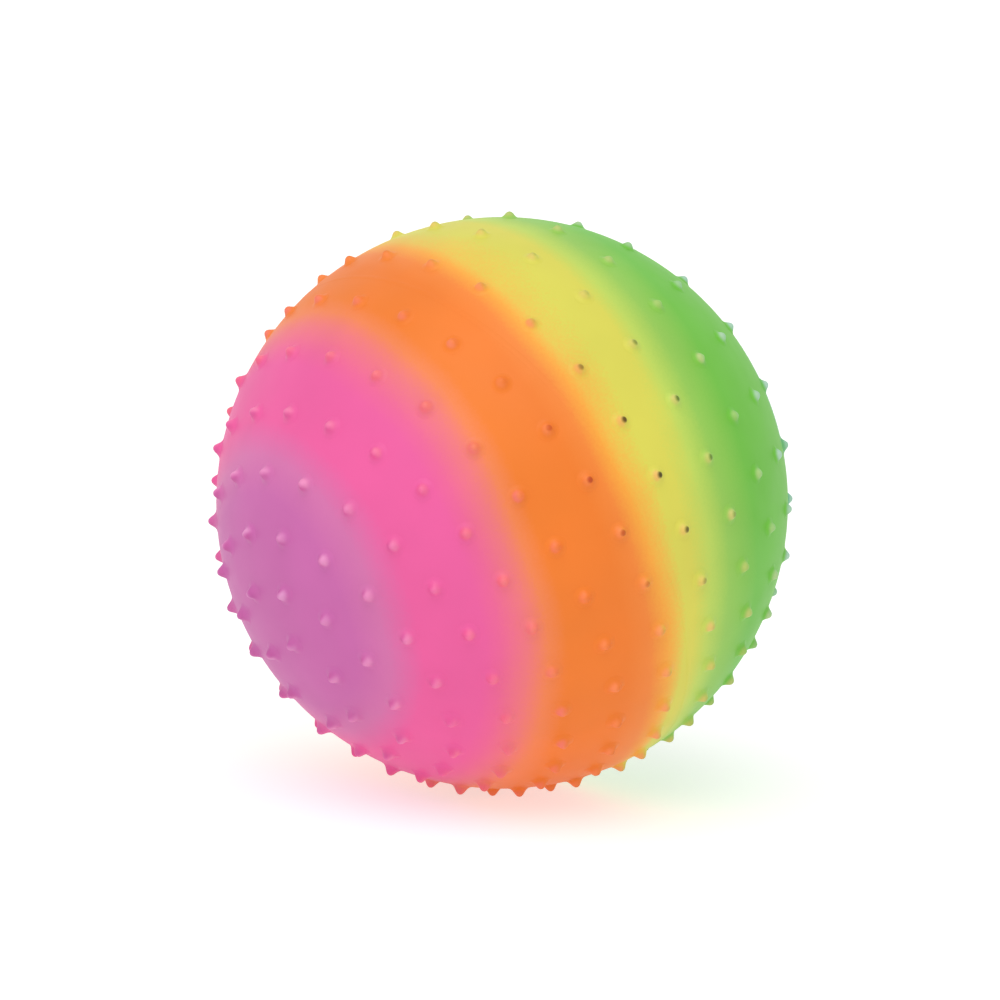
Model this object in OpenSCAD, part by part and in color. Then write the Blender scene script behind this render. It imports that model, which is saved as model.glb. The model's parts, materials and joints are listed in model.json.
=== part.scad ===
// Inflatable sensory ball with soft nubs, cast in one with its skin, and a push-in air plug.
// It is drawn standing on a table, with the face in the photo towards -Y.

/* [Skin] */

// Diameter of the inflated skin, between the nubs
ball_d = 172; // [120:2:260]
// Thickness of the cast skin
wall_t = 1.2; // [0.8:0.1:2]
// Height of the faint ridge left where the two mould halves met
ridge_h = 0.2; // [0.1:0.05:0.4]
// Width of that ridge at its foot
ridge_w = 0.9; // [0.6:0.1:1.5]

/* [Nubs] */

// Height of a nub above the skin
nub_h = 2.9; // [2:0.1:4]
// Width of a nub across its flared foot
nub_foot_d = 6.2; // [5:0.1:8]
// Radius of the rounded tip of a nub
nub_tip_r = 0.75; // [0.5:0.05:1]
// Slope of the flank where it leaves the skin, in degrees
nub_foot_slope = 30; // [25:1:36]
// Rings of nubs on each mould half, from the ridge to the pole
ring_count = 7; // [5:1:8]
// Spacing of the nubs along a ring, as a share of the spacing of the rings
nub_pitch_share = 0.977; // [0.9:0.001:1.3]
// How much closer the nubs lie on the side where the skin stretched least, as a share
crowd_share = 0.194; // [0:0.002:0.22]

/* [Valve] */

// Diameter of the thick boss inside the skin
boss_d = 16; // [15:0.5:20]
// Depth of the boss, from the outside of the skin
boss_len = 10; // [9:0.5:12]
// Diameter of the soft seat bonded into the boss
seat_d = 9; // [7:0.25:10]
// Diameter of the flange that closes the seat at the outside
flange_d = 12.5; // [11:0.25:14]
// Thickness of the flange
flange_t = 1; // [0.8:0.1:1.5]
// Diameter of the head of the plug
head_d = 9.5; // [8:0.25:10.5]
// Thickness of the head of the plug
head_t = 1.4; // [1:0.1:1.8]
// Diameter of the plug's shank under its head
shank_d = 4.6; // [4:0.1:5.5]
// Diameter of the shank at its inner end
shank_end_d = 3.4; // [2.8:0.1:3.8]
// Length of the shank
shank_len = 8.2; // [6:0.1:8.5]
// Clearance between the shank and the seat, all round
plug_gap = 0.05; // [0.03:0.01:0.1]

/* [Hidden] */

// Colours of the airbrushed bands, from the pole at the lower left of the photo
BAND_COLOURS = ["#cb70ad", "#f066a3", "#f6843e", "#e4d45f", "#7cc25a", "#5fb9b4"];
// Angle from the paint axis at which each band gives way to the next
BAND_EDGES = [32, 59, 85, 105, 139];
// Pole of the painted bands, in the mould's latitude and longitude
PAINT_LAT = 79.9;
PAINT_LON = 96.7;
// The vinyl where no paint reaches, on the inside
BARE_COLOUR = "#efe6c4";
SEAT_COLOUR = "#e9eae4";
PLUG_COLOUR = "#f7f6f1";

// Turn of each ring about the mould's axis, as a share of its own spacing, from the ridge out
FRONT_TURN_SHARES = [0.6, 0, 0, 0.5];
BACK_TURN_SHARES = [0.03, 0.78, 0.03, 0.03];

// Where the skin stretched least, in the mould's latitude and longitude
CROWD_LAT = 40;
CROWD_LON = -113.5;
// The point of the ball that faces the front, and the one it is set down on
FRONT_LAT = 29.6;
FRONT_LON = 5.4;
UNDER_LAT = 27.7;
UNDER_LON = -113.3;

ball_r = ball_d / 2;
half = 1 / 2;
quarter_turn = 90;
half_turn = 180;
full_turn = 360;
ring_step = quarter_turn / (ring_count + half);
nub_pitch = ring_step * nub_pitch_share;
foot_r = nub_foot_d / 2;
// A nub is rooted in the middle of the wall
nub_root = wall_t / 2;
tip_dist = ball_r + nub_h - nub_tip_r;

big_fn = 180;
nub_fn = 32;
valve_fn = 64;

// Directions on the ball
function dir(lat, lon) = [cos(lat) * cos(lon), cos(lat) * sin(lon), sin(lat)];
function unit(v) = v / norm(v);
// A mould direction goes to the place it takes on the inflated ball
function inflate(m) = unit(m + crowd_share * dir(CROWD_LAT, CROWD_LON));
function turn_share(side, j) =
    let (shares = side > 0 ? FRONT_TURN_SHARES : BACK_TURN_SHARES)
    j < len(shares) ? shares[j] : 0;
function ring_nubs(side, j) =
    let (lat = side * (j + half) * ring_step)
    let (count = round(full_turn * cos(lat) / nub_pitch))
    [for (i = [0 : count - 1]) inflate(dir(lat, full_turn * (i + turn_share(side, j)) / count))];

nubs = [for (side = [1, -1]) for (j = [0 : ring_count - 1]) each ring_nubs(side, j)];
valve_dir = inflate(dir(-quarter_turn, 0));
paint_dir = dir(PAINT_LAT, PAINT_LON);

// The ball stands on three nub tips: the flat of the nub field nearest to its underside
under = dir(UNDER_LAT, UNDER_LON);
near = [for (v = nubs) if (v * under > cos(ring_step * 3 / 2)) v];
same = 0.000001;
function flat_dir(a, b, c) =
    let (n = unit(cross(b - a, c - a)))
    n * under > 0 ? n : -n;
function is_outer(n, a) = len([for (v = near) if (v * n > a * n + same) v]) == 0;
flats = [
    for (i = [0 : len(near) - 3])
        for (j = [i + 1 : len(near) - 2])
            for (k = [j + 1 : len(near) - 1])
                let (n = flat_dir(near[i], near[j], near[k]))
                if (is_outer(n, near[i])) [n * under, n, near[i]]
];
closest = max([for (f = flats) f[0]]);
stand = [for (f = flats) if (f[0] == closest) f][0];
centre_z = tip_dist * (stand[1] * stand[2]) + nub_tip_r;

// Axes of the standing ball, in mould directions
up = -stand[1];
front = dir(FRONT_LAT, FRONT_LON);
away = -unit(front - (front * up) * up);
right = cross(away, up);
SET_DOWN = [[right.x, right.y, right.z, 0], [away.x, away.y, away.z, 0], [up.x, up.y, up.z, 0]];

// The ridge of the mould seam lies in the plane of three points of the mould's equator
seam = [for (i = [0 : 2]) inflate(dir(0, i * full_turn / 3))];
seam_axis = unit(cross(seam[1] - seam[0], seam[2] - seam[0]));
seam_polar = acos(seam_axis * seam[0]);

// Flank of a nub: one hollow arc from the foot to the rounded tip
foot_z = sqrt(ball_r * ball_r - foot_r * foot_r) - ball_r - ridge_h / 2;
tip_z = nub_h - nub_tip_r;
drop = tip_z - foot_z;
flank_r = (foot_r * foot_r + drop * drop - nub_tip_r * nub_tip_r)
    / (2 * (nub_tip_r - foot_r * sin(nub_foot_slope) + drop * cos(nub_foot_slope)));
flank_x = foot_r + flank_r * sin(nub_foot_slope);
flank_z = foot_z + flank_r * cos(nub_foot_slope);
join_share = nub_tip_r / (nub_tip_r + flank_r);
join_x = flank_x * join_share;
join_z = tip_z + (flank_z - tip_z) * join_share;

// The flange lies flush with the skin at its rim
deck_z = sqrt(ball_r * ball_r - flange_d * flange_d / 4);
head_bevel = head_t / 4;
head_crown_r = (head_d * head_d / 4 + head_bevel * head_bevel) / (2 * head_bevel);

function band_of(v) = len([for (e = BAND_EDGES) if (acos(v * paint_dir) > e) e]);

module placed() {
    translate([0, 0, centre_z])
        multmatrix(SET_DOWN)
            children();
}

module facing(v) {
    rotate([0, acos(v.z), atan2(v.y, v.x)])
        children();
}

module nub_profile() {
    difference() {
        polygon([
            [0, -nub_root],
            [foot_r, -nub_root],
            [foot_r, foot_z],
            [join_x, join_z],
            [0, join_z],
        ]);
        translate([flank_x, flank_z])
            circle(r = flank_r, $fn = big_fn);
    }
    intersection() {
        translate([0, tip_z])
            circle(r = nub_tip_r, $fn = nub_fn);
        translate([0, join_z - ridge_h])
            square([nub_tip_r, nub_tip_r + ridge_h]);
    }
}

module nub() {
    translate([0, 0, ball_r])
        rotate_extrude($fn = nub_fn)
            nub_profile();
}

module ridge() {
    facing(seam_axis)
        rotate_extrude($fn = big_fn)
            rotate([0, 0, quarter_turn - seam_polar])
                translate([ball_r, 0])
                    polygon([[-ridge_h, -ridge_w / 2], [ridge_h, 0], [-ridge_h, ridge_w / 2]]);
}

// The part of the ball under one band: a slice of its round section between two angles
module band_zone(i) {
    from = i == 0 ? 0 : BAND_EDGES[i - 1];
    to = i == len(BAND_EDGES) ? half_turn : BAND_EDGES[i];
    rotate_extrude($fn = big_fn)
        intersection() {
            circle(r = ball_r, $fn = big_fn);
            polygon([
                [0, 0],
                ball_d * [sin(from), cos(from)],
                ball_d * [sin(to), cos(to)],
            ]);
        }
}

module outer_form() {
    facing(paint_dir)
        for (i = [0 : len(BAND_COLOURS) - 1])
            color(BAND_COLOURS[i])
                band_zone(i);
    color(BAND_COLOURS[band_of(seam[0])])
        ridge();
    for (v = nubs)
        color(BAND_COLOURS[band_of(v)])
            facing(v)
                nub();
}

// The air space, with the boss left standing into it
module air_space() {
    difference() {
        sphere(r = ball_r - wall_t, $fn = big_fn);
        facing(valve_dir)
            translate([0, 0, ball_r - boss_len])
                cylinder(d = boss_d, h = boss_len, $fn = valve_fn);
    }
}

module seat_hole() {
    facing(valve_dir) {
        translate([0, 0, ball_r - boss_len - wall_t])
            cylinder(d = seat_d, h = boss_len + wall_t, $fn = valve_fn);
        translate([0, 0, deck_z - flange_t])
            cylinder(d = flange_d, h = boss_len, $fn = valve_fn);
    }
}

module skin() {
    placed()
        difference() {
            outer_form();
            color(BARE_COLOUR)
                air_space();
            color(BARE_COLOUR)
                seat_hole();
        }
}

module valve_seat() {
    color(SEAT_COLOUR)
        placed()
            facing(valve_dir)
                difference() {
                    union() {
                        translate([0, 0, ball_r - boss_len])
                            cylinder(d = seat_d, h = deck_z - ball_r + boss_len - flange_t / 2, $fn = valve_fn);
                        translate([0, 0, deck_z - flange_t])
                            cylinder(d = flange_d, h = flange_t, $fn = valve_fn);
                    }
                    translate([0, 0, deck_z - shank_len])
                        cylinder(
                            d1 = shank_end_d + 2 * plug_gap,
                            d2 = shank_d + 2 * plug_gap,
                            h = shank_len,
                            $fn = valve_fn
                        );
                    translate([0, 0, ball_r - boss_len - flange_t])
                        cylinder(d = shank_end_d + 2 * plug_gap, h = boss_len, $fn = valve_fn);
                }
}

module valve_plug() {
    color(PLUG_COLOUR)
        placed()
            facing(valve_dir)
                translate([0, 0, deck_z]) {
                    translate([0, 0, -shank_len])
                        cylinder(d1 = shank_end_d, d2 = shank_d, h = shank_len, $fn = valve_fn);
                    cylinder(d1 = head_d - 2 * head_bevel, d2 = head_d, h = head_bevel, $fn = valve_fn);
                    translate([0, 0, head_bevel])
                        cylinder(d = head_d, h = head_t - 2 * head_bevel, $fn = valve_fn);
                    intersection() {
                        translate([0, 0, head_t - head_crown_r])
                            sphere(r = head_crown_r, $fn = big_fn);
                        translate([0, 0, head_bevel])
                            cylinder(d = head_d, h = head_t, $fn = valve_fn);
                    }
                }
}

skin();
valve_seat();
valve_plug();
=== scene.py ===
"""Inflatable sensory ball: a soft vinyl skin with small nubs, airbrushed in bands, and its air valve.

Every length is in metres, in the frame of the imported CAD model: the ball stands on z = 0 and the
side in the photo faces -Y.
"""

import json
import math
from functools import partial

import bpy
from mathutils import Euler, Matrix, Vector


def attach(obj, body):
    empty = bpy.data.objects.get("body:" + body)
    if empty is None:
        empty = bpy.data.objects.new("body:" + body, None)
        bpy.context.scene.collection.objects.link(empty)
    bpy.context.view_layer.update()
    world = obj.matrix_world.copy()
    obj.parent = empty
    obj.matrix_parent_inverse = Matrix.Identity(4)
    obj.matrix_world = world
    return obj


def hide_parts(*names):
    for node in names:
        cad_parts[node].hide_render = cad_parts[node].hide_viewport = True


bl_info = {
    "name": "Sensory Ball",
    "version": (1, 0, 0),
    "blender": (4, 5, 0),
    "location": "View3D > Sidebar > Sensory Ball",
    "description": "Builds a soft nubby ball with airbrushed bands, its air valve and a plain studio",
    "category": "Add Mesh",
}

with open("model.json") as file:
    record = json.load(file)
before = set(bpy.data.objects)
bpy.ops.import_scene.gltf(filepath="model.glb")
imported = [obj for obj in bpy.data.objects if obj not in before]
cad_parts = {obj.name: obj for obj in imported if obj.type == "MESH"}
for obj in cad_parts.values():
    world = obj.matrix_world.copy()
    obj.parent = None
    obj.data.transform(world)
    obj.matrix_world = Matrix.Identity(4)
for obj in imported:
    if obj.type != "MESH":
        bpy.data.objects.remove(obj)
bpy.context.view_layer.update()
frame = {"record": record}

MM = 0.001
# Points closer than this are one
WELD = 0.002 * MM
# How many sides the round forms have
WALL_SIDES, NUB_SIDES, VALVE_SIDES = 192, 12, 96
# How deep the foot of a nub is sunk into the wall
SUNK = 0.09 * MM
# A skin with all its nubs has far more faces than this
FEWEST_FACES = 20000

# The valve's interface point lies in the middle of its flange, on the valve's axis
VALVE = next(m for m in frame["record"]["mounts"] if m["name"] == "valve")
VALVE_POINT = Vector(VALVE["pos_m"])
VALVE_AXIS = Vector(VALVE["axis"]).normalized()
# The middle of the ball lies on that axis, straight above the point that the ball stands on
VALVE_REACH = VALVE_POINT.x / VALVE_AXIS.x
CENTRE = VALVE_POINT - VALVE_REACH * VALVE_AXIS

# Turn of each ring of nubs about the mould's axis, as a share of its own spacing, from the ridge out
FRONT_TURNS = (0.6, 0.0, 0.0, 0.5, 0.0, 0.0, 0.0)
BACK_TURNS = (0.03, 0.78, 0.03, 0.03, 0.0, 0.0, 0.0)

MATH = "ShaderNodeMath"
VECTOR_MATH = "ShaderNodeVectorMath"
NOISE = "ShaderNodeTexNoise"
MAP_RANGE = "ShaderNodeMapRange"
# Of a mix of colours, inputs 6 and 7 are the two colours and output 2 is the result
MIX = "ShaderNodeMix"
BUMP = "ShaderNodeBump"


def linear(code):
    """An sRGB hex colour as linear RGBA."""
    parts = [int(code[i:i + 2], 16) / 255 for i in (1, 3, 5)]
    return [c / 12.92 if c <= 0.04045 else ((c + 0.055) / 1.055) ** 2.4 for c in parts] + [1.0]


# Sizes and colours

# What all settings of one kind share
a_length = partial(bpy.props.FloatProperty, unit="LENGTH", precision=4)
an_angle = partial(bpy.props.FloatProperty, subtype="ANGLE")
a_direction = partial(bpy.props.FloatVectorProperty, subtype="DIRECTION")
a_colour = partial(bpy.props.FloatVectorProperty, size=4, min=0.0, max=1.0, subtype="COLOR")


class SkinSettings(bpy.types.PropertyGroup):
    ball_diameter: a_length(
        name="Ball Diameter", description="Diameter of the inflated skin between the nubs",
        default=172 * MM, min=120 * MM, max=260 * MM)
    wall: a_length(
        name="Wall", description="Thickness of the cast skin", default=1.2 * MM, min=0.8 * MM, max=2 * MM)
    ridge_height: a_length(
        name="Ridge Height", description="Height of the faint line left where the mould halves met",
        default=0.05 * MM, min=0.02 * MM, max=0.2 * MM, precision=5)
    ridge_width: a_length(
        name="Ridge Width", description="Width of that line", default=1.5 * MM, min=0.6 * MM, max=2 * MM)
    nub_height: a_length(
        name="Nub Height", description="Height of a nub above the skin",
        default=2.9 * MM, min=2 * MM, max=4 * MM)
    nub_width: a_length(
        name="Nub Width", description="Width of a nub across its flared foot",
        default=7.6 * MM, min=5 * MM, max=9 * MM)
    nub_flare: a_length(
        name="Nub Flare", description="How far the foot of a nub runs out along the skin",
        default=2.2 * MM, min=0.5 * MM, max=3 * MM)
    nub_round: a_length(
        name="Nub Rounding", description="How far the rounded tip of a nub reaches to each side",
        default=1.65 * MM, min=0.5 * MM, max=2 * MM)
    rings: bpy.props.IntProperty(
        name="Rings", description="Rings of nubs on each mould half, from the ridge to the pole",
        default=7, min=5, max=7)
    pitch_share: bpy.props.FloatProperty(
        name="Pitch Share", description="Spacing of nubs along a ring, as a share of the ring spacing",
        default=0.977, min=0.9, max=1.3)
    crowd_share: bpy.props.FloatProperty(
        name="Crowding", description="How much closer the nubs lie where the skin stretched least",
        default=0.194, min=0.0, max=0.22)
    crowd_latitude: an_angle(
        name="Crowding Latitude", description="Where the skin stretched least, on the mould",
        default=math.radians(40))
    crowd_longitude: an_angle(
        name="Crowding Longitude", description="Where the skin stretched least, on the mould",
        default=math.radians(-113.5))
    mould_turn: bpy.props.FloatVectorProperty(
        name="Mould Turn", description="How the mould's axes lie in the standing ball",
        default=[math.radians(a) for a in (119.77681, -20.547198, -61.700987)], subtype="EULER")
    tall_side: a_direction(
        name="Tall Side", description="Direction in which the nubs came out tallest",
        default=(-0.6, 0.0, -0.8))
    stretch: bpy.props.FloatProperty(
        name="Stretch", description="How much lower the nubs are drawn out on the opposite side",
        default=0.38, min=0.0, max=0.6, subtype="FACTOR")
    unevenness: bpy.props.FloatProperty(
        name="Unevenness", description="How much one nub can fall short of its neighbours",
        default=0.05, min=0.0, max=0.2, subtype="FACTOR")
    seed: bpy.props.IntProperty(
        name="Seed", description="Seed of that unevenness", default=11, min=0)


class PaintSettings(bpy.types.PropertyGroup):
    violet: a_colour(
        name="Violet", description="First band, round the spray pole", default=linear("#cd68ae"))
    pink: a_colour(
        name="Pink", description="Second band", default=linear("#f05fa3"))
    orange: a_colour(
        name="Orange", description="Third band", default=linear("#f57f25"))
    yellow: a_colour(
        name="Yellow", description="Fourth band", default=linear("#dfd956"))
    green: a_colour(
        name="Green", description="Fifth band", default=linear("#6ec33a"))
    turquoise: a_colour(
        name="Turquoise", description="Last band, round the far pole", default=linear("#50b2ac"))
    bare: a_colour(
        name="Bare Vinyl", description="The vinyl inside, where no paint reaches",
        default=linear("#efe6c4"))
    axis: a_direction(
        name="Spray Axis", description="Direction of the pole that the bands run round",
        default=(-0.78143, -0.53362, -0.32345))
    lean: a_direction(
        name="Lean", description="Direction in which the later bands lean", default=(0.0, -0.5, 0.866))
    drift: an_angle(
        name="Drift", description="How far the edge of a band wanders",
        default=math.radians(1.6), min=0.0)
    # The side whose nub tips carry the speck: the last coat's spray with a painted shadow
    speck_and_shade_side: a_direction(
        name="Speck Side", description="Direction from which the last coat caught the nub tips",
        default=(0.5, -0.8, 0.3))
    mist: an_angle(
        name="Mist", description="How far single specks of spray land from their band",
        default=math.radians(0.8), min=0.0)


class ValveSettings(bpy.types.PropertyGroup):
    seat_colour: a_colour(
        name="Seat Colour", description="The milky vinyl of the seat", default=linear("#e9eae2"))
    plug_colour: a_colour(
        name="Plug Colour", description="The white plastic of the plug", default=linear("#f4f3ee"))
    boss_diameter: a_length(
        name="Boss Diameter", description="Diameter of the thick boss inside the skin",
        default=16 * MM, min=15 * MM, max=20 * MM)
    boss_depth: a_length(
        name="Boss Depth", description="Depth of the boss from the outside of the skin",
        default=10 * MM, min=9 * MM, max=12 * MM)
    seat_diameter: a_length(
        name="Seat Diameter", description="Diameter of the soft seat bonded into the boss",
        default=9 * MM, min=7 * MM, max=10 * MM)
    flange_diameter: a_length(
        name="Flange Diameter", description="Diameter of the flange that closes the seat outside",
        default=12.5 * MM, min=11 * MM, max=14 * MM)
    flange_thickness: a_length(
        name="Flange Thickness", description="Thickness of that flange",
        default=1 * MM, min=0.8 * MM, max=1.5 * MM)
    head_diameter: a_length(
        name="Head Diameter", description="Diameter of the head of the plug",
        default=9.5 * MM, min=8 * MM, max=10.5 * MM)
    head_thickness: a_length(
        name="Head Thickness", description="Thickness of the head of the plug",
        default=1.4 * MM, min=1 * MM, max=1.8 * MM)
    shank_diameter: a_length(
        name="Shank Diameter", description="Diameter of the shank under the head",
        default=4.6 * MM, min=4 * MM, max=5.5 * MM)
    shank_end_diameter: a_length(
        name="Shank End Diameter", description="Diameter of the shank at its inner end",
        default=3.4 * MM, min=2.8 * MM, max=3.8 * MM)
    shank_length: a_length(
        name="Shank Length", description="Length of the shank",
        default=8.2 * MM, min=6 * MM, max=8.5 * MM)
    plug_gap: a_length(
        name="Plug Gap", description="Clearance between the shank and the seat, all round",
        default=0.05 * MM, min=0.03 * MM, max=0.1 * MM, precision=5)


class StudioSettings(bpy.types.PropertyGroup):
    floor_colour: a_colour(
        name="Floor Colour", description="The paper that the ball stands on", default=linear("#d0d0ce"))
    floor_glow: bpy.props.FloatProperty(
        name="Floor Glow", description="Strength of the even light that the paper lets through from below",
        default=0.44, min=0.0)
    floor_shine: bpy.props.FloatProperty(
        name="Floor Shine", description="The same where the paper is seen, so that it shows white",
        default=0.57, min=0.0)
    camera_distance: a_length(
        name="Camera Distance", description="From the camera to the middle of the ball",
        default=1.2286, min=0.5)
    camera_height: an_angle(
        name="Camera Elevation", description="Angle at which the camera looks down",
        default=math.radians(8.08))
    camera_roll: an_angle(
        name="Camera Roll", description="Lean of the camera about its line of sight",
        default=math.radians(1.85))
    camera_shift: bpy.props.FloatVectorProperty(
        name="Camera Shift", description="How far the picture is moved, as a share of its width",
        default=(-0.0021, 0.0028), size=2)
    lens: bpy.props.FloatProperty(
        name="Lens", description="Focal length, in millimetres, on a 36 mm sensor", default=146.7, min=20)
    room_light: bpy.props.FloatProperty(
        name="Room Light", description="Strength of the even light from all sides", default=0.61, min=0.0)
    lamp_light: bpy.props.FloatProperty(
        name="Lamp Light", description="Strength of the broad soft lamp overhead", default=1.25, min=0.0)
    lamp_way: a_direction(
        name="Lamp Direction", description="Where the lamp's light goes", default=(0.17, 0.6, -1.0))
    lamp_spread: an_angle(
        name="Lamp Spread", description="Angle that the lamp covers, seen from the ball",
        default=math.radians(60), min=0.0)


class BallSettings(bpy.types.PropertyGroup):
    skin: bpy.props.PointerProperty(type=SkinSettings, name="Skin", description="Sizes of the skin")
    paint: bpy.props.PointerProperty(type=PaintSettings, name="Paint", description="The sprayed bands")
    valve: bpy.props.PointerProperty(type=ValveSettings, name="Valve", description="Sizes of the valve")
    studio: bpy.props.PointerProperty(type=StudioSettings, name="Studio", description="Light and camera")


# Nodes


def add(tree, kind, inputs=(), out=0, **settings):
    """One node with its settings; an input takes a value, or a link where it is given an output.

    Inputs go by number in a list, or by number or name in a dict. The result is the node's output
    that out names, or the node itself where out is None.
    """
    node = tree.nodes.new(kind)
    for name, value in settings.items():
        setattr(node, name, value)
    for key, value in inputs.items() if isinstance(inputs, dict) else enumerate(inputs):
        if isinstance(value, bpy.types.NodeSocket):
            tree.links.new(value, node.inputs[key])
        else:
            node.inputs[key].default_value = value
    return node if out is None else node.outputs[out]


def set_stops(ramp, stops):
    """Sets a ramp over the angle from the spray pole to (degrees, colour) pairs; gives its output."""
    elements = ramp.color_ramp.elements
    while len(elements) < len(stops):
        elements.new(1.0)
    for element, (degrees, colour) in zip(elements, stops):
        element.position = degrees / 180
        element.color = linear(colour) if isinstance(colour, str) else colour
    return ramp.outputs[0]


def blank_material(name):
    """A new material and its empty node tree."""
    material = bpy.data.materials.new(name)
    material.use_nodes = True
    material.node_tree.nodes.clear()
    return material, material.node_tree


def patchy(tree, place, size, detail, low, high):
    """A value that wanders between two limits, in soft patches of a size."""
    patches = add(tree, NOISE, {"Vector": place, "Scale": 1 / size, "Detail": detail})
    return add(tree, MAP_RANGE, {"Value": patches, "To Min": low, "To Max": high})


def place_on_valve(tree):
    """The place as seen from the valve's point, its height along the valve's axis and its distance."""
    place = add(tree, "ShaderNodeTexCoord", out="Object")
    place = add(tree, "ShaderNodeMapping", {"Vector": place, "Location": -VALVE_POINT})
    height = add(tree, VECTOR_MATH, [place, VALVE_AXIS], "Value", operation="DOT_PRODUCT")
    return place, height, add(tree, VECTOR_MATH, [place], "Value", operation="LENGTH")


# Materials

# Angles from the spray pole between which each band has its full colour
BAND_PLACES = {
    "violet": (0, 23), "pink": (37, 49), "orange": (65, 77), "yellow": (90, 92),
    "green": (112, 138), "turquoise": (151, 180),
}
# What two wet coats make where they overlap
OVERLAPS = (
    (30, "#d874af"), (52, "#f0659a"), (57, "#f2787f"), (61, "#f68650"), (82, "#f78834"),
    (86, "#fbaa3c"), (88, "#f2c04a"), (96, "#c3dc5e"), (102, "#97cd54"),
)
# The ball was turned a little between the coats. Each row gives two angles and how far the bands
# lean at the one and at the other, in degrees
LEANS = ((60, 84, 2.0, -2.7), (85.5, 99, 0.0, 10.5))
# How far the pole of the last coat leaned
LAST_LEAN = math.radians(8)
# What the flank of a nub catches on the side that faces the violet pole; on violet and pink nubs it is
# deeper, as painted shade
NEAR_FLANK_AND_SHADE = (
    (0, "#c05ca4"), (28, "#cc60a2"), (45, "#ec579a"), (56, "#f46d80"), (64, "#f57c6c"),
    (72, "#fc8c55"), (80, "#fb8f50"), (88, "#f9a868"), (95, "#e8c670"), (104, "#d0c872"),
    (118, "#b0cf84"), (134, "#b4d6c6"),
)
# What it catches on the side that faces the turquoise pole; on violet and pink nubs it is pale, as a
# painted highlight
FAR_FLANK_AND_HIGHLIGHT = (
    (0, "#dd9bcd"), (28, "#eb95c6"), (45, "#f679a6"), (56, "#f87a86"), (66, "#f5803c"),
    (78, "#f5822e"), (90, "#dcd858"), (104, "#b9d46c"), (118, "#9bcf7c"), (134, "#9acdbf"),
)
# Speck at a tip: the last coat's spray, darkest where it landed on orange and yellow, plus a painted
# shadow on the tip's far side; on violet and pink nubs it is a painted highlight
TIP_SPECK_AND_PAINTED_LIGHT = (
    (0, "#e79ccd"), (30, "#f08cc4"), (48, "#fb7aa4"), (62, "#f5803c"), (72, "#e8621a"),
    (77, "#b83a08"), (82, "#c2581a"), (87, "#7a5808"), (91, "#4a3e04"), (95, "#524c08"),
    (100, "#5e6e14"), (106, "#6a9030"), (113, "#9ccb70"), (140, "#8fc9b4"),
)


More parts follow.
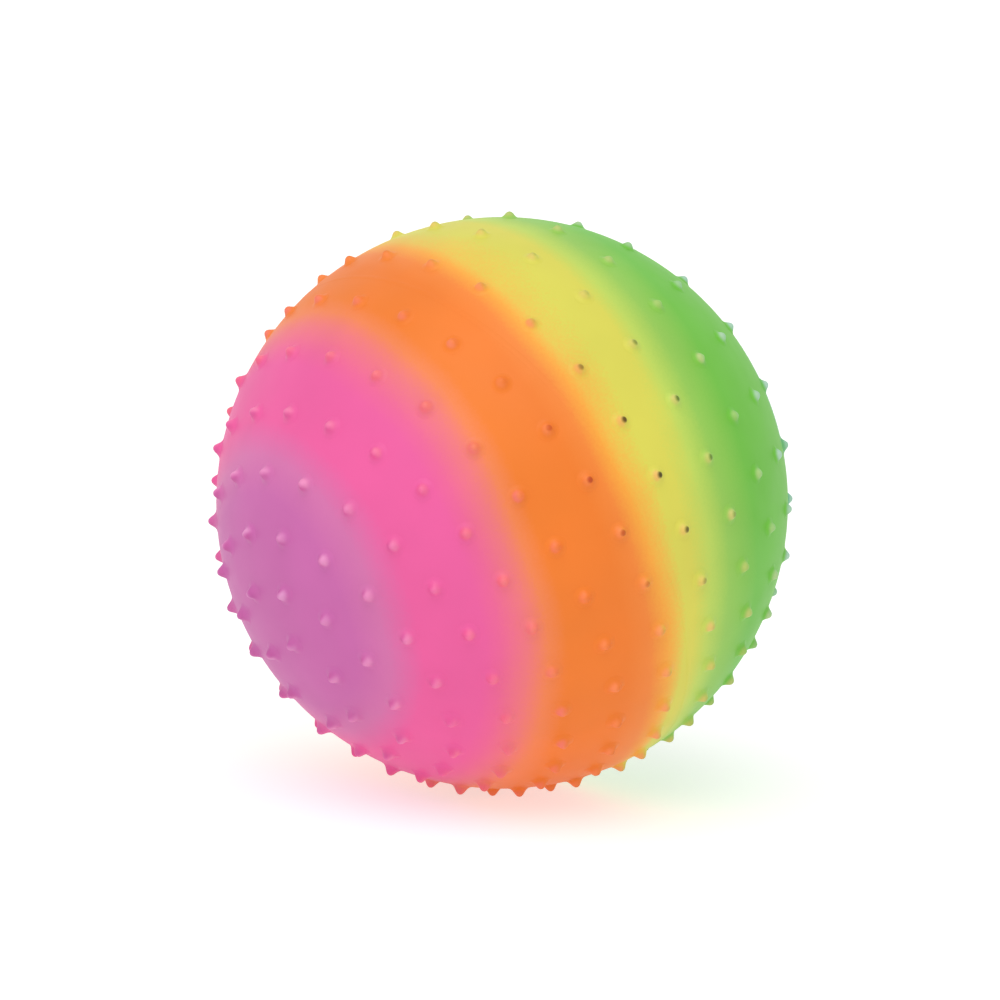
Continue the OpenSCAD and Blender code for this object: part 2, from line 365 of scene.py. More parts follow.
def painted_vinyl(skin, paint):
    """Soft PVC, cast in a turned mould and airbrushed: satin and smooth to the eye.

    The spray drifts at the edges of its bands, and a nub catches its neighbours' colours. Its flanks and
    tip also carry painted highlight and painted shade.
    """
    material, tree = blank_material("PVC_cast_and_airbrushed")
    put = partial(add, tree)
    place = put("ShaderNodeTexCoord", out="Object")
    place = put("ShaderNodeMapping", {"Vector": place, "Location": -CENTRE})
    reach = put(VECTOR_MATH, [place], "Value", operation="LENGTH")
    facing = put(VECTOR_MATH, [place], operation="NORMALIZE")
    pole = Vector(paint.axis).normalized()
    along = put(VECTOR_MATH, [facing, pole], "Value", operation="DOT_PRODUCT")
    angle = put(MATH, [along], operation="ARCCOSINE")
    angle = put(MATH, [angle, math.pi], operation="DIVIDE")

    # A band leans, its edge wanders over some 40 mm, and single specks of about 0.8 mm land off it
    high = put(VECTOR_MATH, [facing, Vector(paint.lean).normalized()], "Value", operation="DOT_PRODUCT")
    sprayed = angle
    for start, end, *leans in LEANS:
        lean = put(MAP_RANGE, [angle, start / 180, end / 180] + [-degrees / 180 for degrees in leans])
        sprayed = put(MATH, [lean, high, sprayed], operation="MULTIPLY_ADD")
    for size, far in ((40 * MM, paint.drift), (0.8 * MM, paint.mist)):
        share = far / math.pi
        waves = patchy(tree, place, size, 1.0, -share, share)
        sprayed = put(MATH, [sprayed, waves], operation="ADD")
    bands = [
        (end, getattr(paint, name)[:]) for name, ends in BAND_PLACES.items() for end in ends]
    bands = sorted(bands + list(OVERLAPS), key=lambda stop: stop[0])
    colour = set_stops(put("ShaderNodeValToRGB", [sprayed], None), bands)

    # A coat is a few percent thicker in some places than in others
    thick = put(NOISE, {"Vector": place, "Scale": 1 / (26 * MM), "Detail": 2.0})
    thick = put(MAP_RANGE, {"Value": thick, "From Min": 0.3, "From Max": 0.7, "To Max": 0.06})
    colour = put(MIX, {"Factor": thick, 6: colour, 7: linear("#000000")}, 2,
                 data_type="RGBA", blend_type="MULTIPLY")

    # Place on a nub: x towards the violet pole, y across, z above the skin
    nub = put("ShaderNodeAttribute", out="Vector", attribute_name="nub_place")
    toward, _, above = put("ShaderNodeSeparateXYZ", [nub], None).outputs
    near = put(MAP_RANGE, [toward, -1.0 * MM, 1.0 * MM], interpolation_type="SMOOTHSTEP")
    flanks_with_painted_light = [
        set_stops(put("ShaderNodeValToRGB", [angle], None), stops) for stops in (FAR_FLANK_AND_HIGHLIGHT, NEAR_FLANK_AND_SHADE)]
    # Overspray on the flanks; on violet and pink nubs also a painted highlight on the far side and painted
    # shade on the near side
    flank = put(MIX, {"Factor": near, 6: flanks_with_painted_light[0], 7: flanks_with_painted_light[1]}, 2, data_type="RGBA")
    # Every nub catches a different amount
    caught = put(NOISE, {"Vector": place, "Scale": 1 / (17 * MM), "Detail": 0.0})
    caught = put(MAP_RANGE, [caught, 0.35, 0.65, 0.5, 1.1])
    risen = put(MAP_RANGE, [above, 0.2 * MM, 2.0 * MM], interpolation_type="SMOOTHSTEP")
    risen = put(MATH, [risen, caught], operation="MULTIPLY")
    colour = put(MIX, {"Factor": risen, 6: colour, 7: flank}, 2, data_type="RGBA")
    # The speck lies just off the tip, away from the violet pole; its dark part is partly a painted shadow
    speck_place = (-0.4 * MM, 0.0, 2.75 * MM)
    speck = put(VECTOR_MATH, [nub, speck_place], "Value", operation="DISTANCE")
    speck = put(MAP_RANGE, [speck, 1.6 * MM, 0.5 * MM], interpolation_type="SMOOTHSTEP")
    # The speck and its painted shadow are strong on the nubs that face the speck side, fully within 11
    # degrees and little beyond 33
    faces_speck_side = put(VECTOR_MATH, [facing, Vector(paint.speck_and_shade_side).normalized()], "Value",
                 operation="DOT_PRODUCT")
    faces_speck_side = put(MAP_RANGE, [faces_speck_side, 0.84, 0.98, 0.2, 1.0])
    speck = put(MATH, [speck, faces_speck_side], operation="MULTIPLY")
    speck_shade_and_highlight = set_stops(put("ShaderNodeValToRGB", [angle], None), TIP_SPECK_AND_PAINTED_LIGHT)
    colour = put(MIX, {"Factor": speck, 6: colour, 7: speck_shade_and_highlight}, 2, data_type="RGBA")

    # Inside the ball no paint reaches the vinyl, which is a warm cream
    outer = skin.ball_diameter / 2
    outside = put(MAP_RANGE, [reach, outer - 0.6 * MM, outer - 0.2 * MM])
    colour = put(MIX, {"Factor": outside, 6: paint.bare[:], 7: colour}, 2, data_type="RGBA")

    dull = patchy(tree, place, 9 * MM, 3.0, 0.44, 0.56)
    # Grain of the cast surface: lumps of 0.9 mm, and a slight waviness of the wall over 14 mm
    lumps = put(NOISE, {"Vector": place, "Scale": 1 / (0.9 * MM), "Detail": 2.0})
    bump = put(BUMP, {"Height": lumps, "Strength": 0.10, "Distance": 0.08 * MM})
    waves = put(NOISE, {"Vector": place, "Scale": 1 / (14 * MM), "Detail": 1.0})
    bump = put(BUMP, {"Height": waves, "Strength": 0.25, "Distance": 0.5 * MM, "Normal": bump})
    shader = put("ShaderNodeBsdfPrincipled", {
        "Base Color": colour, "Roughness": dull, "Normal": bump, "IOR": 1.53,
        "Specular IOR Level": 0.3})
    put("ShaderNodeOutputMaterial", [shader], None)
    return material


def milky_vinyl(valve):
    """Unpigmented soft PVC, injection moulded: milky, satin, with spray caught at the flange's rim."""
    material, tree = blank_material("PVC_milky_moulded")
    put = partial(add, tree)
    place, height, reach = place_on_valve(tree)
    ragged = put(NOISE, {"Vector": place, "Scale": 1 / (0.5 * MM), "Detail": 3.0, "Roughness": 0.7})
    ragged = put(MATH, [ragged, 1.2 * MM, reach], operation="MULTIPLY_ADD")
    rim = valve.flange_diameter / 2
    caught = put(MAP_RANGE, [ragged, rim - 0.7 * MM, rim + 0.6 * MM], interpolation_type="SMOOTHSTEP")
    outside = put(MAP_RANGE, [height, -0.5 * MM, 0.0, 0.0, 0.85])
    caught = put(MATH, [caught, outside], operation="MULTIPLY")
    cloudy = patchy(tree, place, 3 * MM, 2.0, 0.0, 0.08)
    milk = put(MIX, {"Factor": cloudy, 6: valve.seat_colour[:], 7: linear("#000000")}, 2,
               data_type="RGBA", blend_type="MULTIPLY")
    colour = put(MIX, {"Factor": caught, 6: milk, 7: linear("#5fb9b4")}, 2, data_type="RGBA")
    # Fine sparkle of the mould's eroded steel, drawn at 0.35 mm so that it shows
    sparkle = put(NOISE, {"Vector": place, "Scale": 1 / (0.35 * MM), "Detail": 2.0})
    bump = put(BUMP, {"Height": sparkle, "Strength": 0.15, "Distance": 0.03 * MM})
    dull = patchy(tree, place, 2 * MM, 2.0, 0.36, 0.5)
    shader = put("ShaderNodeBsdfPrincipled", {
        "Base Color": colour, "Roughness": dull, "Normal": bump, "IOR": 1.53,
        "Subsurface Weight": 0.35, "Subsurface Radius": (1.0, 0.9, 0.8),
        "Subsurface Scale": 1.5 * MM})
    put("ShaderNodeOutputMaterial", [shader], None)
    return material


def white_polyethylene(valve):
    """Low-density polyethylene, injection moulded: waxy white, with fine turned marks on its head."""
    material, tree = blank_material("LDPE_white_moulded")
    put = partial(add, tree)
    place, height, reach = place_on_valve(tree)
    # Thumbs rub and grey the rim of the head
    worn = put(NOISE, {"Vector": place, "Scale": 1 / (0.6 * MM), "Detail": 3.0})
    worn = put(MATH, [worn, 1.5 * MM, reach], operation="MULTIPLY_ADD")
    rim = valve.head_diameter / 2
    worn = put(MAP_RANGE, [worn, rim - 0.2 * MM, rim + 1.2 * MM], interpolation_type="SMOOTHSTEP")
    outside = put(MAP_RANGE, [height, 0.0, 0.6 * MM, 0.0, 0.35])
    worn = put(MATH, [worn, outside], operation="MULTIPLY")
    cloudy = patchy(tree, place, 2.5 * MM, 2.0, 0.0, 0.06)
    wax = put(MIX, {"Factor": cloudy, 6: valve.plug_colour[:], 7: linear("#000000")}, 2,
              data_type="RGBA", blend_type="MULTIPLY")
    colour = put(MIX, {"Factor": worn, 6: wax, 7: linear("#cfd6cc")}, 2, data_type="RGBA")
    # Rings left by the lathe that cut the mould, 0.35 mm apart
    rings = put(MATH, [reach, 2 * math.pi / (0.35 * MM)], operation="MULTIPLY")
    rings = put(MATH, [rings], operation="SINE")
    lumps = put(NOISE, {"Vector": place, "Scale": 1 / (0.5 * MM), "Detail": 2.0})
    lumps = put(MATH, [rings, 0.3, lumps], operation="MULTIPLY_ADD")
    bump = put(BUMP, {"Height": lumps, "Strength": 0.1, "Distance": 0.02 * MM})
    dull = patchy(tree, place, 1.5 * MM, 2.0, 0.26, 0.4)
    shader = put("ShaderNodeBsdfPrincipled", {
        "Base Color": colour, "Roughness": dull, "Normal": bump, "IOR": 1.51,
        "Subsurface Weight": 0.2, "Subsurface Radius": (1.0, 0.95, 0.9),
        "Subsurface Scale": 0.8 * MM})
    put("ShaderNodeOutputMaterial", [shader], None)
    return material


# The skin


def wall_section(skin, valve):
    """The wall cut through the valve's axis: (distance from the axis, height above the centre).

    It runs from the pole of the air space, round the boss and the seat's hole, to the outer pole.
    """
    outer = skin.ball_diameter / 2
    inner = outer - skin.wall
    boss, seat, flange = (
        valve.boss_diameter / 2, valve.seat_diameter / 2, valve.flange_diameter / 2)
    deck = math.sqrt(outer * outer - flange * flange)
    boss_foot = outer - valve.boss_depth

    def arc(radius, start, end, steps):
        turns = [start + (end - start) * i / steps for i in range(steps + 1)]
        return [(radius * math.sin(t), radius * math.cos(t)) for t in turns]

    return (
        arc(inner, math.pi, math.asin(boss / inner), 60)
        + [(boss, boss_foot), (seat, boss_foot), (seat, deck - valve.flange_thickness)]
        + [(flange, deck - valve.flange_thickness)]
        + arc(outer, math.asin(flange / outer), math.pi, 96)
    )


def skin_tree():
    """Geometry Nodes that turn the wall's section and set the ridge and the rings of nubs on it."""
    tree = bpy.data.node_groups.new("Cast skin with nubs", "GeometryNodeTree")
    sockets = {}
    for name, kind in (
        ("Wall Section", "Geometry"), ("Centre", "Vector"), ("Valve Axis", "Vector"),
        ("Spray Axis", "Vector"), ("Ball Radius", "Float"), ("Ridge Height", "Float"),
        ("Ridge Width", "Float"), ("Nub Height", "Float"), ("Nub Radius", "Float"),
        ("Nub Flare", "Float"), ("Nub Rounding", "Float"), ("Rings", "Int"),
        ("Pitch Share", "Float"), ("Crowding", "Vector"), ("Mould Turn", "Rotation"),
        ("Tall Side", "Vector"), ("Stretch", "Float"), ("Unevenness", "Float"), ("Seed", "Int"),
        ("Material", "Material"),
    ):
        sockets[name] = tree.interface.new_socket(
            name, in_out="INPUT", socket_type="NodeSocket" + kind).identifier
    tree.interface.new_socket("Skin", in_out="OUTPUT", socket_type="NodeSocketGeometry")
    put = partial(add, tree)
    given = put("NodeGroupInput", out=None).outputs
    radius = given["Ball Radius"]

    def blown_up(fall, longitude):
        """The direction on the inflated ball of a place on the mould; fall is its latitude, downwards."""
        turn = put("ShaderNodeCombineXYZ", {1: fall, 2: longitude})
        spot = put("ShaderNodeVectorRotate", {"Vector": (1, 0, 0), "Rotation": turn},
                   rotation_type="EULER_XYZ")
        spot = put(VECTOR_MATH, [spot, given["Crowding"]])
        spot = put("FunctionNodeRotateVector", [spot, given["Mould Turn"]])
        return put(VECTOR_MATH, [spot], operation="NORMALIZE")

    def from_centre(direction, distance):
        """The point at that distance from the middle of the ball."""
        arm = put(VECTOR_MATH, {0: direction, "Scale": distance}, operation="SCALE")
        return put(VECTOR_MATH, [arm, given["Centre"]])

    def turned(section, sides):
        """A section in the XY plane, with Y down, turned about the Z axis and closed."""
        hub = 1 * MM
        moved = put("GeometryNodeTransform", {"Geometry": section, "Translation": (-hub, 0, 0)})
        wheel = put("GeometryNodeCurvePrimitiveCircle", {"Resolution": sides, "Radius": hub})
        wheel = put("GeometryNodeSetCurveNormal", {"Curve": wheel}, mode="Z_UP")
        body = put("GeometryNodeCurveToMesh", {"Curve": wheel, "Profile Curve": moved})
        return put("GeometryNodeMergeByDistance", {"Geometry": body, "Distance": WELD})

    # The wall, turned about the valve's axis
    section = put("GeometryNodeMeshToCurve", [given["Wall Section"]])
    upright = put("FunctionNodeAlignRotationToVector", {"Vector": given["Valve Axis"]}, axis="Z")
    wall = put("GeometryNodeTransform", {
        "Geometry": turned(section, WALL_SIDES), "Translation": given["Centre"], "Rotation": upright})

    # The ridge: a thin closed ring along the mould's equator, with a step for each degree
    loop = put("GeometryNodeMeshGrid", {"Vertices X": 361, "Vertices Y": 9})
    across = put("GeometryNodeInputPosition")
    along, around, _ = put("ShaderNodeSeparateXYZ", [across], None).outputs
    along = put(MATH, [along, 2 * math.pi], operation="MULTIPLY")
    around = put(MATH, [around, 2 * math.pi], operation="MULTIPLY")
    half_width = put(MATH, [given["Ridge Width"], 0.5], operation="MULTIPLY")
    half_width = put(MATH, [half_width, radius], operation="DIVIDE")
    aside = put(MATH, [put(MATH, [around], operation="COSINE"), half_width], operation="MULTIPLY")
    raised = put(MATH, [put(MATH, [around], operation="SINE"), given["Ridge Height"], radius],
                 operation="MULTIPLY_ADD")
    ridge = put("GeometryNodeSetPosition", {
        "Geometry": loop, "Position": from_centre(blown_up(aside, along), raised)})
    ridge = put("GeometryNodeMergeByDistance", {"Geometry": ridge, "Distance": WELD})

    # One ring of nub places for each turn of the zone, first those of the front half
    zone_in = put("GeometryNodeRepeatInput", out=None)
    zone_out = put("GeometryNodeRepeatOutput", out=None)
    zone_in.pair_with_output(zone_out)
    both_halves = put(MATH, [given["Rings"], 2.0], operation="MULTIPLY")
    tree.links.new(both_halves, zone_in.inputs["Iterations"])
    ring = zone_in.outputs["Iteration"]
    step = put(MATH, [given["Rings"], 0.5], operation="ADD")
    step = put(MATH, [math.pi / 2, step], operation="DIVIDE")
    last_front = put(MATH, [given["Rings"], 0.5], operation="SUBTRACT")
    behind = put(MATH, [ring, last_front], operation="GREATER_THAN")
    passed = put(MATH, [behind, given["Rings"]], operation="MULTIPLY")
    order = put(MATH, [ring, 0.5], operation="ADD")
    order = put(MATH, [order, passed], operation="SUBTRACT")
    side = put(MATH, [behind, 2.0, -1.0], operation="MULTIPLY_ADD")
    fall = put(MATH, [put(MATH, [order, step], operation="MULTIPLY"), side], operation="MULTIPLY")
    pitch = put(MATH, [step, given["Pitch Share"]], operation="MULTIPLY")
    count = put(MATH, [put(MATH, [fall], operation="COSINE"), 2 * math.pi], operation="MULTIPLY")
    count = put(MATH, [put(MATH, [count, pitch], operation="DIVIDE")], operation="ROUND")
    share = put("GeometryNodeIndexSwitch", out=None, data_type="FLOAT")
    turns = FRONT_TURNS + BACK_TURNS
    while len(share.index_switch_items) < len(turns):
        share.index_switch_items.new()
    for i, turn in enumerate(turns):
        share.inputs[i + 1].default_value = turn
    tree.links.new(ring, share.inputs["Index"])
    longitude = put(MATH, [put("GeometryNodeInputIndex"), share.outputs[0]], operation="ADD")
    longitude = put(MATH, [put(MATH, [longitude, count], operation="DIVIDE"), 2 * math.pi],
                    operation="MULTIPLY")
    places = put("GeometryNodePoints", {"Count": count, "Position": blown_up(fall, longitude)})
    joined = put("GeometryNodeJoinGeometry", [zone_in.outputs["Geometry"]], None)
    tree.links.new(places, joined.inputs[0])
    tree.links.new(joined.outputs[0], zone_out.inputs["Geometry"])

    # Half section of a nub, from its tip to its sunk foot
    sunk = put("ShaderNodeCombineXYZ", [given["Nub Radius"], SUNK])
    flare = put(MATH, [given["Nub Radius"], given["Nub Flare"]], operation="SUBTRACT")
    flare = put("ShaderNodeCombineXYZ", [flare, SUNK])
    top = put(MATH, [given["Nub Height"], -1.0], operation="MULTIPLY")
    rounding = put("ShaderNodeCombineXYZ", [given["Nub Rounding"], top])
    tip = put("ShaderNodeCombineXYZ", {1: top})
    flank = put("GeometryNodeCurvePrimitiveBezierSegment", {
        "Resolution": 6, "Start": tip, "Start Handle": rounding, "End Handle": flare, "End": sunk},
        mode="POSITION")
    # A flat face, turned to look down, closes the foot
    sole = put("GeometryNodeMeshCircle", {"Vertices": NUB_SIDES, "Radius": given["Nub Radius"]},
               fill_type="NGON")
    sole = put("GeometryNodeTransform", {
        "Geometry": sole, "Translation": (0, 0, -SUNK), "Rotation": (math.pi, 0, 0)})
    nub = put("GeometryNodeJoinGeometry", [turned(flank, NUB_SIDES)], None)
    tree.links.new(sole, nub.inputs[0])
    nub = put("GeometryNodeMergeByDistance", {"Geometry": nub.outputs[0], "Distance": WELD})
    # Its height above the skin, for the paint, as it is before a nub is drawn out lower
    here = put("GeometryNodeInputPosition")
    nub = put("GeometryNodeStoreNamedAttribute", {
        "Geometry": nub, "Name": "nub_rise",
        "Value": put("ShaderNodeSeparateXYZ", [here], "Z")}, data_type="FLOAT", domain="POINT")

    # A nub stands at each place, pointing straight out
    spots = put("GeometryNodeStoreNamedAttribute", {
        "Geometry": zone_out.outputs["Geometry"], "Name": "nub_direction", "Value": here},
        data_type="FLOAT_VECTOR", domain="POINT")
    spots = put("GeometryNodeSetPosition", {
        "Geometry": spots, "Position": from_centre(here, radius)})
    stored = put("GeometryNodeInputNamedAttribute", {"Name": "nub_direction"}, data_type="FLOAT_VECTOR")
    upright = put("FunctionNodeAlignRotationToVector", {"Vector": stored}, axis="Z")
    shortest = put(MATH, [1.0, given["Unevenness"]], operation="SUBTRACT")
    height = put("FunctionNodeRandomValue", {2: shortest, 3: 1.0, "Seed": given["Seed"]}, 1,
                 data_type="FLOAT")
    lowest = put(MATH, [1.0, given["Stretch"]], operation="SUBTRACT")
    tallness = put(VECTOR_MATH, [stored, given["Tall Side"]], "Value", operation="DOT_PRODUCT")
    tallness = put(MAP_RANGE, [tallness, -1.0, 1.0, lowest, 1.0])
    height = put(MATH, [height, tallness], operation="MULTIPLY")
    slimness = put(MATH, [height, 0.4, 0.6], operation="MULTIPLY_ADD")
    size = put("ShaderNodeCombineXYZ", [slimness, slimness, height])
    nubs = put("GeometryNodeInstanceOnPoints", {
        "Points": spots, "Instance": nub, "Rotation": upright, "Scale": size})
    nubs = put("GeometryNodeRealizeInstances", [nubs])

    # Place on the nub, for the paint: towards the spray pole, across it and above the skin
    offset = put(VECTOR_MATH, [here, given["Centre"]], operation="SUBTRACT")
    level = put(VECTOR_MATH, [given["Spray Axis"], stored], operation="PROJECT")
    level = put(VECTOR_MATH, [given["Spray Axis"], level], operation="SUBTRACT")
    level = put(VECTOR_MATH, [level], operation="NORMALIZE")
    aside = put(VECTOR_MATH, [stored, level], operation="CROSS_PRODUCT")
    parts = [
        put(VECTOR_MATH, [offset, way], "Value", operation="DOT_PRODUCT") for way in (level, aside)]
    parts.append(put("GeometryNodeInputNamedAttribute", {"Name": "nub_rise"}, data_type="FLOAT"))
    nubs = put("GeometryNodeStoreNamedAttribute", {
        "Geometry": nubs, "Name": "nub_place", "Value": put("ShaderNodeCombineXYZ", parts)},
        data_type="FLOAT_VECTOR", domain="POINT")
    for name in ("nub_direction", "nub_rise"):
        nubs = put("GeometryNodeRemoveAttribute", {"Geometry": nubs, "Name": name})

    whole = put("GeometryNodeJoinGeometry", [wall], None)
    tree.links.new(ridge, whole.inputs[0])
    tree.links.new(nubs, whole.inputs[0])
    whole = put("GeometryNodeSetShadeSmooth", {"Geometry": whole.outputs[0]}, domain="FACE")
    # Sharp only at the boss and the seat's hole
    bend = put("GeometryNodeInputMeshEdgeAngle")
    gentle = put(MATH, [bend, math.radians(50)], operation="LESS_THAN")
    whole = put("GeometryNodeSetShadeSmooth", {"Geometry": whole, "Shade Smooth": gentle}, domain="EDGE")
    whole = put("GeometryNodeRealizeInstances", [whole])
    whole = put("GeometryNodeSetMaterial", {"Geometry": whole, "Material": given["Material"]})
    put("NodeGroupOutput", [whole], None)
    return tree, sockets


def plain_mesh(name, source):
    """The object that a source's live modifiers make, as a plain mesh without them."""
    shown = source.evaluated_get(bpy.context.evaluated_depsgraph_get())
    mesh = bpy.data.meshes.new_from_object(shown)
    mesh.name = name
    made = bpy.data.objects.new(name, mesh)
    bpy.context.collection.objects.link(made)
    bpy.data.objects.remove(source)
    return made


class SENSORYBALL_OT_skin(bpy.types.Operator):
    """Cast the hollow skin with its ridge and its rings of nubs, and airbrush the bands on it"""

    bl_idname = "sensoryball.skin"
    bl_label = "Skin with Nubs"

    def execute(self, context):
        settings = context.scene.sensory_ball
        skin, valve, paint = settings.skin, settings.valve, settings.paint
        points = [(x, -z, 0) for x, z in wall_section(skin, valve)]
        section = bpy.data.meshes.new("wall_section")
        section.from_pydata(points, [(i, i + 1) for i in range(len(points) - 1)], [])
        source = bpy.data.objects.new("skin_source", section)
        context.collection.objects.link(source)

        tree, sockets = skin_tree()
        material = painted_vinyl(skin, paint)
        latitude, longitude = skin.crowd_latitude, skin.crowd_longitude
        crowding = skin.crowd_share * Vector((
            math.cos(latitude) * math.cos(longitude), math.cos(latitude) * math.sin(longitude),
            math.sin(latitude)))
        # The paint, with the painted highlight and shade on a nub's flanks, tells its two sides apart by
        # the pole of the last coat, which leans
        last_pole = Vector(paint.axis).normalized() + LAST_LEAN * Vector(paint.lean).normalized()
        modifier = source.modifiers.new("Cast skin", "NODES")
        modifier.node_group = tree
        for name, value in {
            "Centre": CENTRE, "Valve Axis": VALVE_AXIS, "Spray Axis": last_pole.normalized(),
            "Ball Radius": skin.ball_diameter / 2, "Ridge Height": skin.ridge_height,
            "Ridge Width": skin.ridge_width, "Nub Height": skin.nub_height,
            "Nub Radius": skin.nub_width / 2, "Nub Flare": skin.nub_flare,
            "Nub Rounding": skin.nub_round, "Rings": skin.rings, "Pitch Share": skin.pitch_share,
            "Crowding": crowding, "Mould Turn": Euler(skin.mould_turn),
            "Tall Side": Vector(skin.tall_side).normalized(), "Stretch": skin.stretch,
            "Unevenness": skin.unevenness, "Seed": skin.seed, "Material": material,
        }.items():
            modifier[sockets[name]] = value
        ball = plain_mesh("Ball_skin", source)
        if len(ball.data.polygons) < FEWEST_FACES or not ball.data.materials:
            raise RuntimeError("the skin's nodes made no full mesh")
        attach(ball, "ball")
        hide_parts("skin")
        return {"FINISHED"}


# The valve


def turned_piece(name, section, material, notch=None):
    """A piece turned about the valve's axis from its half section, closed where that meets the axis.

    notch(distance, height, turn) can move a point towards the axis.
    """
    points, rows = [], []
    for distance, height in section:
        if distance < WELD:
            rows.append([len(points)])
            points.append((0.0, 0.0, height))
            continue
        row = []
        for i in range(VALVE_SIDES):
            turn = 2 * math.pi * i / VALVE_SIDES
            reach = notch(distance, height, turn) if notch else distance
            row.append(len(points))
            points.append((reach * math.cos(turn), reach * math.sin(turn), height))
        rows.append(row)
    faces = []
    pairs = list(zip(rows, rows[1:]))
    if len(rows[0]) > 1:
        pairs.append((rows[-1], rows[0]))
    for low, high in pairs:
        for i in range(VALVE_SIDES):
            j = (i + 1) % VALVE_SIDES
            corners = [low[i % len(low)], low[j % len(low)], high[j % len(high)], high[i % len(high)]]
            faces.append(list(dict.fromkeys(corners)))
    mesh = bpy.data.meshes.new(name)
    turn = Vector((0, 0, 1)).rotation_difference(VALVE_AXIS)
    mesh.from_pydata([VALVE_POINT + turn @ Vector(p) for p in points], [], faces)
    mesh.validate()
    mesh.shade_smooth()
    mesh.set_sharp_from_angle(angle=math.radians(40))
    mesh.materials.append(material)
    made = bpy.data.objects.new(name, mesh)
    bpy.context.collection.objects.link(made)
    return made


def rounded(corner, before, after, radius, steps=4):
    """A corner of a section rounded off: points of an arc from the line before to the line after."""
    corner, before, after = Vector(corner), Vector(before), Vector(after)
    one, two = (before - corner).normalized(), (after - corner).normalized()
    half = one.angle(two) / 2
    centre = corner + (one + two).normalized() * (radius / math.sin(half))
    start, end = corner + one * (radius / math.tan(half)), corner + two * (radius / math.tan(half))
    arms = [(start - centre).lerp(end - centre, i / steps).normalized() for i in range(steps + 1)]
    return [tuple(centre + arm * radius) for arm in arms]


class SENSORYBALL_OT_valve_seat(bpy.types.Operator):
    """Mould the soft sleeve and flange that are bonded into the skin and grip the plug"""

    bl_idname = "sensoryball.valve_seat"
    bl_label = "Valve Seat"

    def execute(self, context):
        settings = context.scene.sensory_ball
        skin, valve = settings.skin, settings.valve
        outer = skin.ball_diameter / 2
        deck = math.sqrt(outer * outer - valve.flange_diameter ** 2 / 4)
        foot = outer - valve.boss_depth - deck
        rim = valve.flange_diameter / 2 - 0.04 * MM
        sleeve, under = valve.seat_diameter / 2, -valve.flange_thickness
        mouth = valve.shank_diameter / 2 + valve.plug_gap
        bore = valve.shank_end_diameter / 2 + valve.plug_gap
        # A bead runs round the flange, and the mouth of the bore is flared
        bead, bead_width, bead_height = rim - 0.75 * MM, 0.32 * MM, 0.10 * MM
        section = (
            [(bore, foot)]
            + rounded((sleeve, foot), (bore, foot), (sleeve, under), 0.3 * MM)
            + [(sleeve, under), (rim, under)]
            + rounded((rim, 0.0), (rim, under), (0.0, 0.0), 0.25 * MM, 6)
            + [(bead + bead_width * math.cos(t), bead_height * math.sin(t))
               for t in [math.pi * i / 8 for i in range(9)]]
            + [(mouth + 0.35 * MM, 0.0), (mouth + 0.1 * MM, -0.08 * MM), (mouth, -0.3 * MM)]
            + [(bore, -valve.shank_length)]
        )
        seat = turned_piece("Valve_seat", section, milky_vinyl(valve))
        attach(seat, "ball")
        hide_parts("valve_seat")
        return {"FINISHED"}


class SENSORYBALL_OT_valve_plug(bpy.types.Operator):
    """Mould the push-in plug with its crowned head, thumbnail notch and hollow tapered shank"""

    bl_idname = "sensoryball.valve_plug"
    bl_label = "Air Plug"

    def execute(self, context):
        valve = context.scene.sensory_ball.valve
        head, thick = valve.head_diameter / 2, valve.head_thickness
        shank, end = valve.shank_diameter / 2, valve.shank_end_diameter / 2
        foot = -valve.shank_length
        shank_wall = 0.75 * MM
        core = end - shank_wall
        bevel = thick / 4
        crown_radius = (head * head + bevel * bevel) / (2 * bevel)
        shoulder = thick - bevel

        def crown(distance):
            """Height of the crowned top at a distance from the axis."""
            return thick - crown_radius + math.sqrt(crown_radius ** 2 - distance ** 2)

        brow = head * 0.93
        dish, dish_depth = head * 0.42, 0.16 * MM
        top = [(head * share, crown(head * share)) for share in (0.93, 0.86, 0.78, 0.7, 0.62, 0.54)]
        top += [
            (dish * math.cos(t), crown(dish) - dish_depth * math.sin(t) ** 2)
            for t in [math.pi / 2 * i / 8 for i in range(1, 8)]]
        section = (
            [(0.0, foot + 3.2 * MM), (core * 0.7, foot + 3.1 * MM), (core, foot + 2.8 * MM)]
            + rounded((core, foot), (core, foot + 2 * MM), (end, foot), 0.15 * MM, 3)
            + rounded((end, foot), (core, foot), (end, foot + 2 * MM), 0.3 * MM, 4)
            + [(shank, 0.0), (head - bevel, 0.0)]
            + rounded((head, bevel), (head - bevel, 0.0), (head, shoulder), 0.2 * MM, 3)
            + rounded((head, shoulder), (head, bevel), (brow, crown(brow)), 0.28 * MM, 5)
            + top + [(0.0, crown(dish) - dish_depth)]
        )

        notch_depth, notch_half = 0.55 * MM, math.radians(22)

        def notch(distance, height, turn):
            """The thumbnail notch in one side of the head."""
            if distance < head * 0.8 or height < -0.01 * MM:
                return distance
            away = abs((turn + math.pi) % (2 * math.pi) - math.pi) / notch_half
            return distance - (notch_depth * math.cos(away * math.pi / 2) ** 2 if away < 1 else 0.0)

        plug = turned_piece("Air_plug", section, white_polyethylene(valve), notch)
        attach(plug, "plug")
        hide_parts("valve_plug")
        return {"FINISHED"}


# The studio


def seen_directly(tree):
    """1 for what the camera sees, straight, in a reflection or through glass, and 0 for plain light."""
    path = add(tree, "ShaderNodeLightPath", out=None).outputs
    seen = add(tree, MATH, [path["Is Camera Ray"], path["Is Glossy Ray"]], operation="MAXIMUM")
    return add(tree, MATH, [seen, path["Is Transmission Ray"]], operation="MAXIMUM")


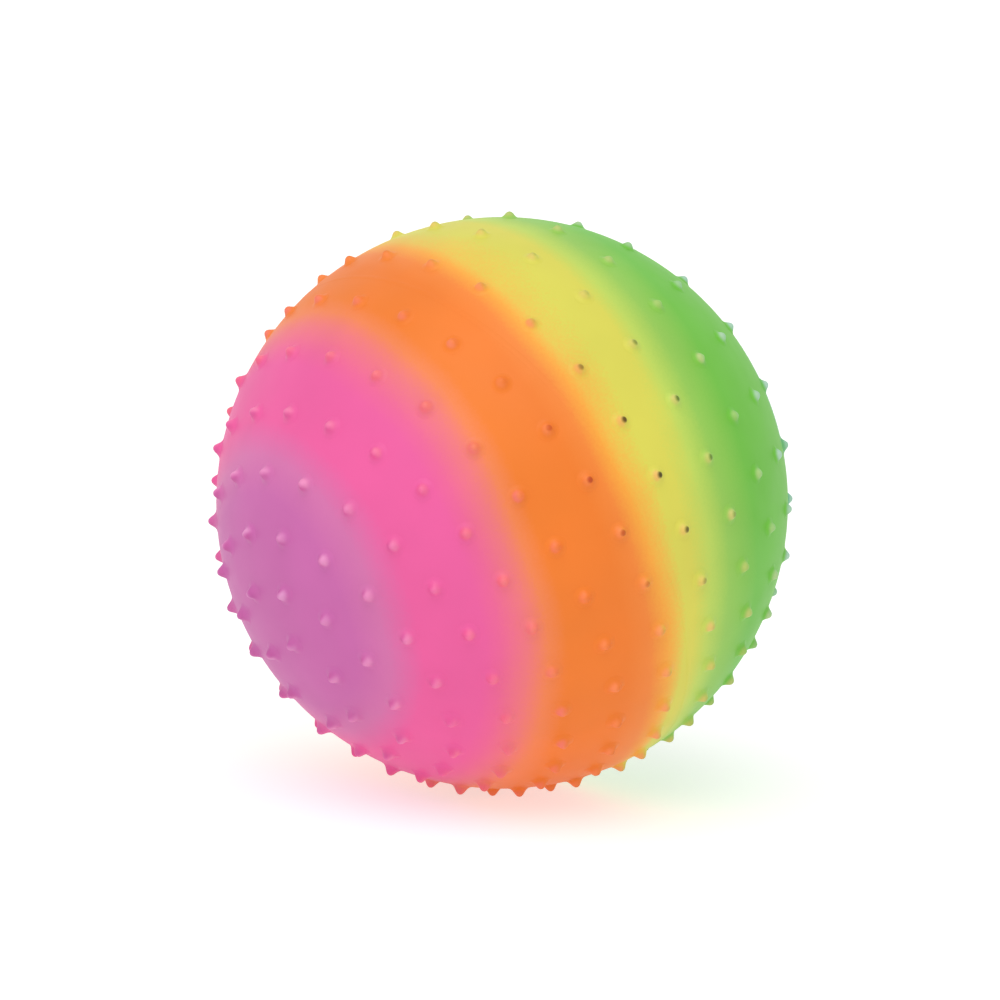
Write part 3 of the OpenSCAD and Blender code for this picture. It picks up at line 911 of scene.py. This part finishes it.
class SENSORYBALL_OT_studio(bpy.types.Operator):
    """Set up paper on a light table, soft light all round and from overhead, and the photo's camera"""

    bl_idname = "sensoryball.studio"
    bl_label = "Studio"

    def execute(self, context):
        scene = context.scene
        studio = scene.sensory_ball.studio

        # Pale paper on a light table, so wide that it fills the frame; it keeps the shadow
        reach = 60.0
        corners = [(-reach, -reach, 0), (reach, -reach, 0), (reach, reach, 0), (-reach, reach, 0)]
        mesh = bpy.data.meshes.new("Studio_floor")
        mesh.from_pydata(corners, [], [(0, 1, 2, 3)])
        floor = bpy.data.objects.new("Studio_floor", mesh)
        context.collection.objects.link(floor)
        material, tree = blank_material("Paper_floor_white")
        paper = add(tree, "ShaderNodeBsdfDiffuse", [studio.floor_colour[:]])
        glow = add(tree, MAP_RANGE, {
            "Value": seen_directly(tree), "To Min": studio.floor_glow, "To Max": studio.floor_shine})
        glow = add(tree, "ShaderNodeEmission", {"Strength": glow})
        both = add(tree, "ShaderNodeAddShader", [paper, glow])
        add(tree, "ShaderNodeOutputMaterial", [both], None)
        mesh.materials.append(material)

        # Even light from all round, and white wherever the camera or a reflection sees past the floor
        world = bpy.data.worlds.new("Studio_world")
        scene.world = world
        world.use_nodes = True
        tree = world.node_tree
        tree.nodes.clear()
        strength = add(tree, MAP_RANGE, {
            "Value": seen_directly(tree), "To Min": studio.room_light, "To Max": 1.0})
        room = add(tree, "ShaderNodeBackground", {"Color": (1, 1, 1, 1), "Strength": strength})
        add(tree, "ShaderNodeOutputWorld", [room], None)

        # One lamp as broad as a ceiling of cloth
        lamp = bpy.data.lights.new("Studio_lamp", "SUN")
        lamp.energy = studio.lamp_light
        lamp.angle = studio.lamp_spread
        lamp_object = bpy.data.objects.new("Studio_lamp", lamp)
        lamp_object.rotation_euler = Vector(studio.lamp_way).to_track_quat("-Z", "Y").to_euler()
        context.collection.objects.link(lamp_object)

        camera = bpy.data.cameras.new("Studio_camera")
        camera.lens = studio.lens
        camera.sensor_width = 36.0
        camera.clip_end = 200.0
        camera.shift_x, camera.shift_y = studio.camera_shift
        eye = bpy.data.objects.new("Studio_camera", camera)
        lean = studio.camera_height
        way = Vector((0.0, -math.cos(lean), math.sin(lean)))
        eye.location = CENTRE + studio.camera_distance * way
        turn = (-way).to_track_quat("-Z", "Y").to_matrix()
        roll = Euler((0.0, 0.0, studio.camera_roll)).to_matrix()
        eye.rotation_euler = (turn @ roll).to_euler()
        context.collection.objects.link(eye)
        scene.camera = eye
        scene.view_settings.view_transform = "Standard"
        return {"FINISHED"}


class SENSORYBALL_PT_panel(bpy.types.Panel):
    """Sizes and buttons of the ball"""

    bl_label = "Sensory Ball"
    bl_idname = "SENSORYBALL_PT_panel"
    bl_space_type = "VIEW_3D"
    bl_region_type = "UI"
    bl_category = "Sensory Ball"

    def draw(self, context):
        settings = context.scene.sensory_ball
        for title, group, operators in PANEL_ROWS:
            box = self.layout.box()
            box.label(text=title)
            values = getattr(settings, group)
            for name in values.__annotations__:
                box.prop(values, name)
            for idname in operators:
                box.operator(idname)


PANEL_ROWS = (
    ("Skin", "skin", ("sensoryball.skin",)),
    ("Paint", "paint", ()),
    ("Valve", "valve", ("sensoryball.valve_seat", "sensoryball.valve_plug")),
    ("Studio", "studio", ("sensoryball.studio",)),
)

CLASSES = (
    SkinSettings, PaintSettings, ValveSettings, StudioSettings, BallSettings,
    SENSORYBALL_OT_skin, SENSORYBALL_OT_valve_seat, SENSORYBALL_OT_valve_plug,
    SENSORYBALL_OT_studio, SENSORYBALL_PT_panel,
)


def register():
    for cls in CLASSES:
        bpy.utils.register_class(cls)
    bpy.types.Scene.sensory_ball = bpy.props.PointerProperty(
        type=BallSettings, name="Sensory Ball", description="Sizes and colours of the ball")


def unregister():
    del bpy.types.Scene.sensory_ball
    for cls in reversed(CLASSES):
        bpy.utils.unregister_class(cls)


def main():
    """Makes the ball and its studio."""
    register()
    bpy.ops.sensoryball.studio()
    bpy.ops.sensoryball.skin()
    bpy.ops.sensoryball.valve_seat()
    bpy.ops.sensoryball.valve_plug()


if __name__ == "__main__":
    main()
